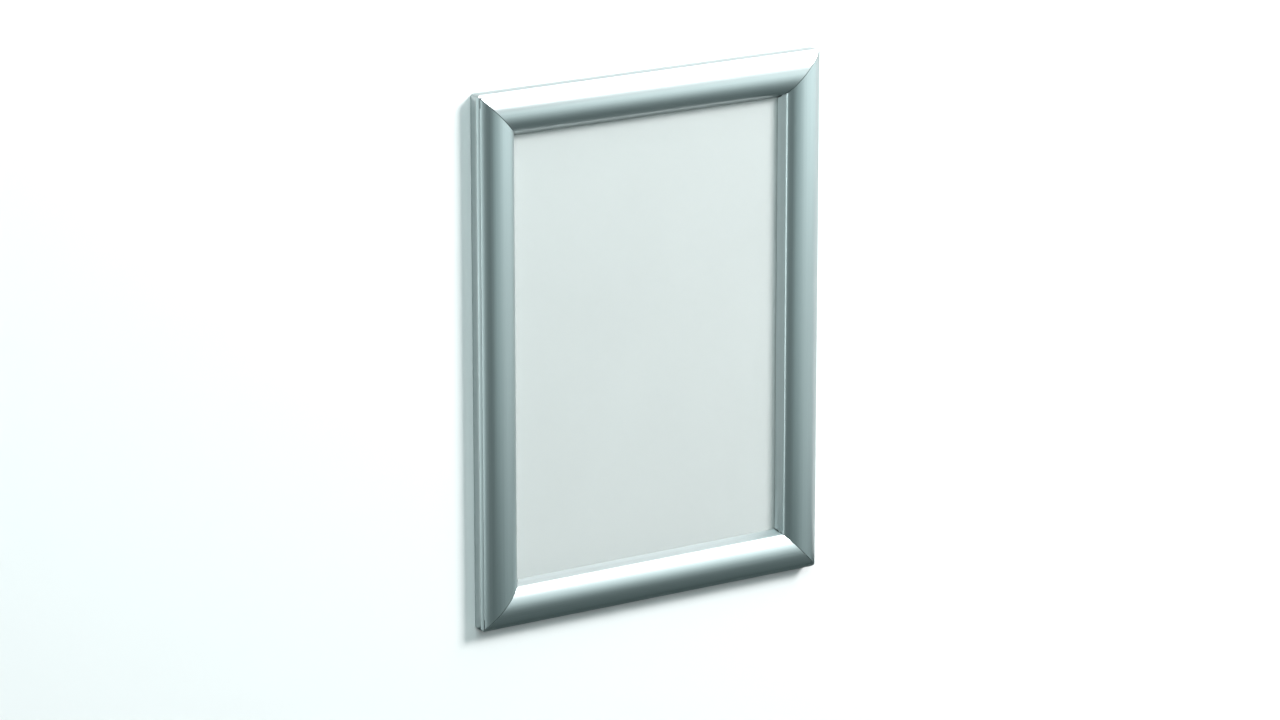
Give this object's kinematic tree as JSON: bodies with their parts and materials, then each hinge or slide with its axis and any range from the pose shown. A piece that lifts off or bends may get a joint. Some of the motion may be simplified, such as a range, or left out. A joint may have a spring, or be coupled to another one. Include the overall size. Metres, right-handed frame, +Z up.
{
  "type": "poster snap frame",
  "caption": "Wall-hung snap frame for an A4 sheet: mitred domed aluminium lids hinge on base rails and clamp a clear cover, the poster and a back panel.",
  "frame": {"origin": "centre of the frame's outline in the wall plane", "axes": "+X to the viewer's right, +Z up, +Y into the wall, so the front faces -Y"},
  "size_m": [0.24, 0.0126, 0.327],
  "materials": {
    "rail_aluminium": "satin natural anodised extrusion",
    "lid_aluminium": "satin natural anodised extrusion",
    "bracket_steel": "zinc plated",
    "spring_steel": "hardened and oiled",
    "panel_plastic": "matt white polystyrene sheet",
    "poster_paper": "blank matt paper",
    "cover_plastic": "clear anti-glare film"
  },
  "bodies": {
    "base": {"base_rail_bottom": "rail_aluminium", "base_rail_right": "rail_aluminium", "base_rail_top": "rail_aluminium", "base_rail_left": "rail_aluminium", "corner_bracket_bottom_left": "bracket_steel", "corner_bracket_bottom_right": "bracket_steel", "corner_bracket_top_right": "bracket_steel", "corner_bracket_top_left": "bracket_steel", "back_panel": "panel_plastic", "poster_sheet": "poster_paper", "clear_cover": "cover_plastic"},
    "bottom_lid": {"lid_bottom": "lid_aluminium"},
    "right_lid": {"lid_right": "lid_aluminium"},
    "top_lid": {"lid_top": "lid_aluminium"},
    "left_lid": {"lid_left": "lid_aluminium"},
    "bottom_springs": {"spring_bottom_1": "spring_steel", "spring_bottom_2": "spring_steel"},
    "right_springs": {"spring_right_1": "spring_steel", "spring_right_2": "spring_steel"},
    "top_springs": {"spring_top_1": "spring_steel", "spring_top_2": "spring_steel"},
    "left_springs": {"spring_left_1": "spring_steel", "spring_left_2": "spring_steel"}
  },
  "joints": [
    {"name": "bottom_lid_hinge", "type": "hinge", "parent": "base", "child": "bottom_lid", "pos_m": [0, -0.00825, -0.1609], "axis": [1, 0, 0], "range_deg": [0, 85]},
    {"name": "right_lid_hinge", "type": "hinge", "parent": "base", "child": "right_lid", "pos_m": [0.1174, -0.00825, 0], "axis": [0, 0, 1], "range_deg": [0, 85]},
    {"name": "top_lid_hinge", "type": "hinge", "parent": "base", "child": "top_lid", "pos_m": [0, -0.00825, 0.1609], "axis": [-1, 0, 0], "range_deg": [0, 85]},
    {"name": "left_lid_hinge", "type": "hinge", "parent": "base", "child": "left_lid", "pos_m": [-0.1174, -0.00825, 0], "axis": [0, 0, -1], "range_deg": [0, 85]},
    {"name": "bottom_spring_rock", "type": "hinge", "parent": "base", "child": "bottom_springs", "pos_m": [0, -0.00175, -0.1508], "axis": [1, 0, 0], "range_deg": [-16.6, 0]},
    {"name": "right_spring_rock", "type": "hinge", "parent": "base", "child": "right_springs", "pos_m": [0.1073, -0.00175, 0], "axis": [0, 0, 1], "range_deg": [-16.6, 0]},
    {"name": "top_spring_rock", "type": "hinge", "parent": "base", "child": "top_springs", "pos_m": [0, -0.00175, 0.1508], "axis": [-1, 0, 0], "range_deg": [-16.6, 0]},
    {"name": "left_spring_rock", "type": "hinge", "parent": "base", "child": "left_springs", "pos_m": [-0.1073, -0.00175, 0], "axis": [0, 0, -1], "range_deg": [-16.6, 0]}
  ],
  "couplings": [
    {"joint": "bottom_spring_rock", "follows": "bottom_lid_hinge", "ratio": -0.1916},
    {"joint": "right_spring_rock", "follows": "right_lid_hinge", "ratio": -0.1916},
    {"joint": "top_spring_rock", "follows": "top_lid_hinge", "ratio": -0.1916},
    {"joint": "left_spring_rock", "follows": "left_lid_hinge", "ratio": -0.1916}
  ]
}
